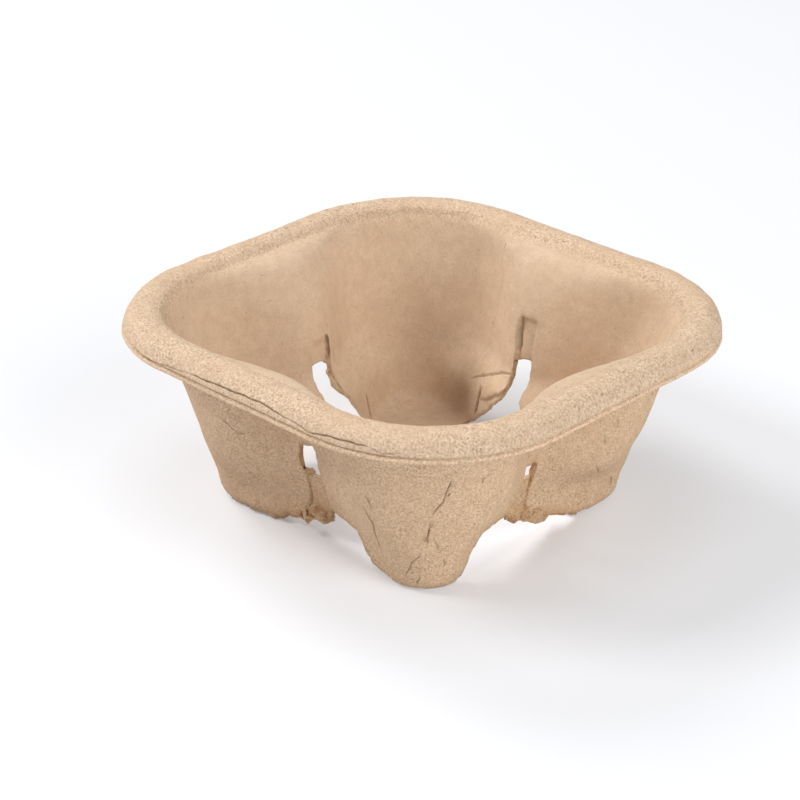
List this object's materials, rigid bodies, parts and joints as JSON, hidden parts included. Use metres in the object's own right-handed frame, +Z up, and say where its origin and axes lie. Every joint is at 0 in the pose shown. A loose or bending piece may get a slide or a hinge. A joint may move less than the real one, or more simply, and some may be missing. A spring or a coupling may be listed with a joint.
{
  "type": "moulded pulp cup carrier",
  "caption": "Moulded paper pulp carrier that holds one takeaway cup in a lobed well with a rolled rim, slotted sides and hollow feet.",
  "frame": {"origin": "on the axis of the well, at the level of the floor that the feet stand on", "axes": "+X along the longer side of the rim, +Y along the other side, +Z up out of the mouth"},
  "size_m": [0.11, 0.108, 0.045],
  "materials": {
    "pulp": "matte, fibrous moulded recycled paper pulp"
  },
  "bodies": {
    "root": {"pulp_carrier": "pulp"}
  },
  "joints": []
}
